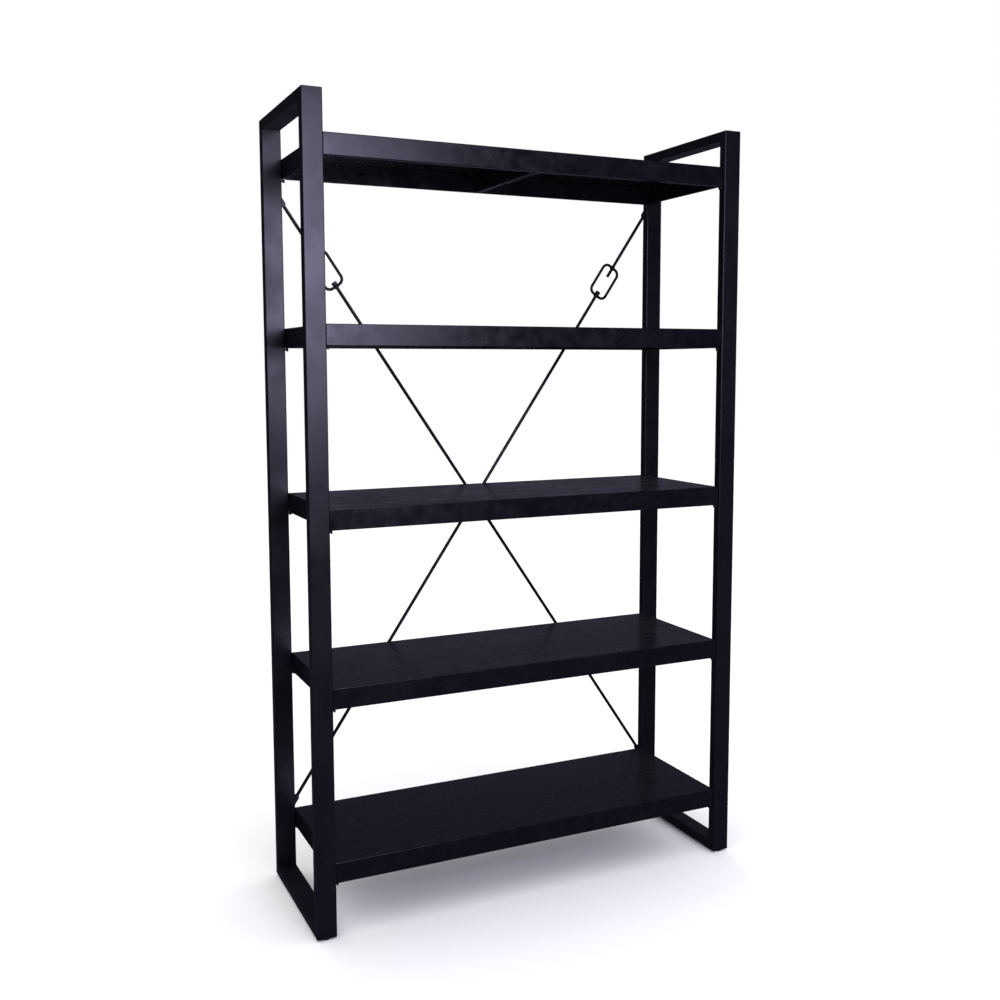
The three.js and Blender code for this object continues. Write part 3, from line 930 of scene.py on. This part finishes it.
def make_world():
    """A dim grey studio with a soft overhead and a pale backdrop to the rear right.
    White paper fills the picture behind the object."""
    world = bpy.data.worlds.new("studio")
    bpy.context.scene.world = world
    world.use_nodes = True
    tree = world.node_tree
    tree.nodes.clear()

    def node(kind, **values):
        made = tree.nodes.new(kind)
        for key, value in values.items():
            setattr(made, key, value)
        return made

    def link(value, socket):
        tree.links.new(value, socket)

    def mapped(value, low, high, low_value, high_value):
        made = node("ShaderNodeMapRange", interpolation_type="SMOOTHSTEP")
        link(value, made.inputs["Value"])
        numbers = (low, high, low_value, high_value)
        for name, number in zip(("From Min", "From Max", "To Min", "To Max"), numbers):
            made.inputs[name].default_value = number
        return made.outputs["Result"]

    where = node("ShaderNodeTexCoord").outputs["Generated"]
    rays = node("ShaderNodeLightPath")
    split = node("ShaderNodeSeparateXYZ")
    link(where, split.inputs[0])
    overhead = mapped(split.outputs[2], *SKY_HEIGHTS, *SKY_STRENGTH)
    towards = node("ShaderNodeVectorMath", operation="DOT_PRODUCT")
    link(where, towards.inputs[0])
    towards.inputs[1].default_value = BACKDROP_DIRECTION
    backdrop = mapped(towards.outputs["Value"], *BACKDROP_SPREAD, *BACKDROP_STRENGTH)
    room = mapped(split.outputs[2], *ROOM_HEIGHTS, *ROOM_STRENGTH)
    both = node("ShaderNodeMath", operation="ADD")
    link(backdrop, both.inputs[0])
    link(room, both.inputs[1])

    shaders = []
    for strength, colour in (
        (overhead, SKY_COLOUR), (both.outputs[0], REFLECTED_COLOUR), (1.0, PAPER_COLOUR),
    ):
        background = node("ShaderNodeBackground")
        background.inputs["Color"].default_value = rgb(*colour)
        if isinstance(strength, float):
            background.inputs["Strength"].default_value = strength
        else:
            link(strength, background.inputs["Strength"])
        shaders.append(background.outputs[0])
    result = shaders[0]
    for ray, shader in (("Is Glossy Ray", shaders[1]), ("Is Camera Ray", shaders[2])):
        mix = node("ShaderNodeMixShader")
        link(rays.outputs[ray], mix.inputs[0])
        link(result, mix.inputs[1])
        link(shader, mix.inputs[2])
        result = mix.outputs[0]
    link(result, node("ShaderNodeOutputWorld").inputs["Surface"])


def make_camera():
    data = bpy.data.cameras.new("camera")
    data.sensor_width = SENSOR_WIDTH
    data.lens = FOCAL_LENGTH
    data.shift_y = CAMERA_SHIFT
    camera = bpy.data.objects.new("camera", data)
    bpy.context.scene.collection.objects.link(camera)
    camera.location = CAMERA_PLACE
    camera.rotation_euler = (
        Matrix.Rotation(math.radians(CAMERA_HEADING), 3, "Z")
        @ Matrix.Rotation(math.radians(90 - CAMERA_DIP), 3, "X")
        @ Matrix.Rotation(math.radians(CAMERA_ROLL), 3, "Z")
    ).to_euler()
    bpy.context.scene.camera = camera


def make_lights():
    """A softbox in front, a dimmer one to its right, and one at the right end."""
    for name, place, target, width, height, power in (
        ("front_softbox", (-0.2, -3.5, 1.95), (-0.2, 0, 1.95), 1.3, 1.45, 45),
        ("fill_softbox", (0.74, -3.5, 2.0), (0.74, 0, 2.0), 0.5, 1.4, 6),
        ("right_softbox", (3.8, 0.4, 2.2), (0, 0, 1.2), 1.2, 1.8, 8),
    ):
        area_light(name, place, target, width, height, power)


# ---------------------------------------------------------------- assembly

frame_paint = painted_tube()
shelf_lacquer = painted_sheet()
rod_finish = blackened("rod_finish", (0.005, 0.005, 0.008), (0.012, 0.011, 0.016), 0.3, 60)
fastener_finish = blackened(
    "fastener_finish", (0.012, 0.012, 0.016), (0.04, 0.038, 0.045), 0.36, 180,
)
glide_finish = moulded_plastic()

for side in SIDES:
    make_side_frame(side, frame_paint)
    for end in ENDS:
        make_glide(side, end, glide_finish)
for n in SHELVES:
    make_pan(n, shelf_lacquer)
    make_rib(n, shelf_lacquer)
    for end in ENDS:
        for side in SIDES:
            make_pin(n, end, side, fastener_finish)
for number, side in enumerate(SIDES):
    make_rods(side, rod_finish)
    make_nut(side, fastener_finish)
    make_ring(side, rod_finish)
    for step, place in enumerate(("upper", "lower")):
        make_anchor(place, side, 10 * number + step, frame_paint)

make_floor()
make_world()
make_lights()
make_camera()
bpy.context.scene.view_settings.view_transform = "Standard"
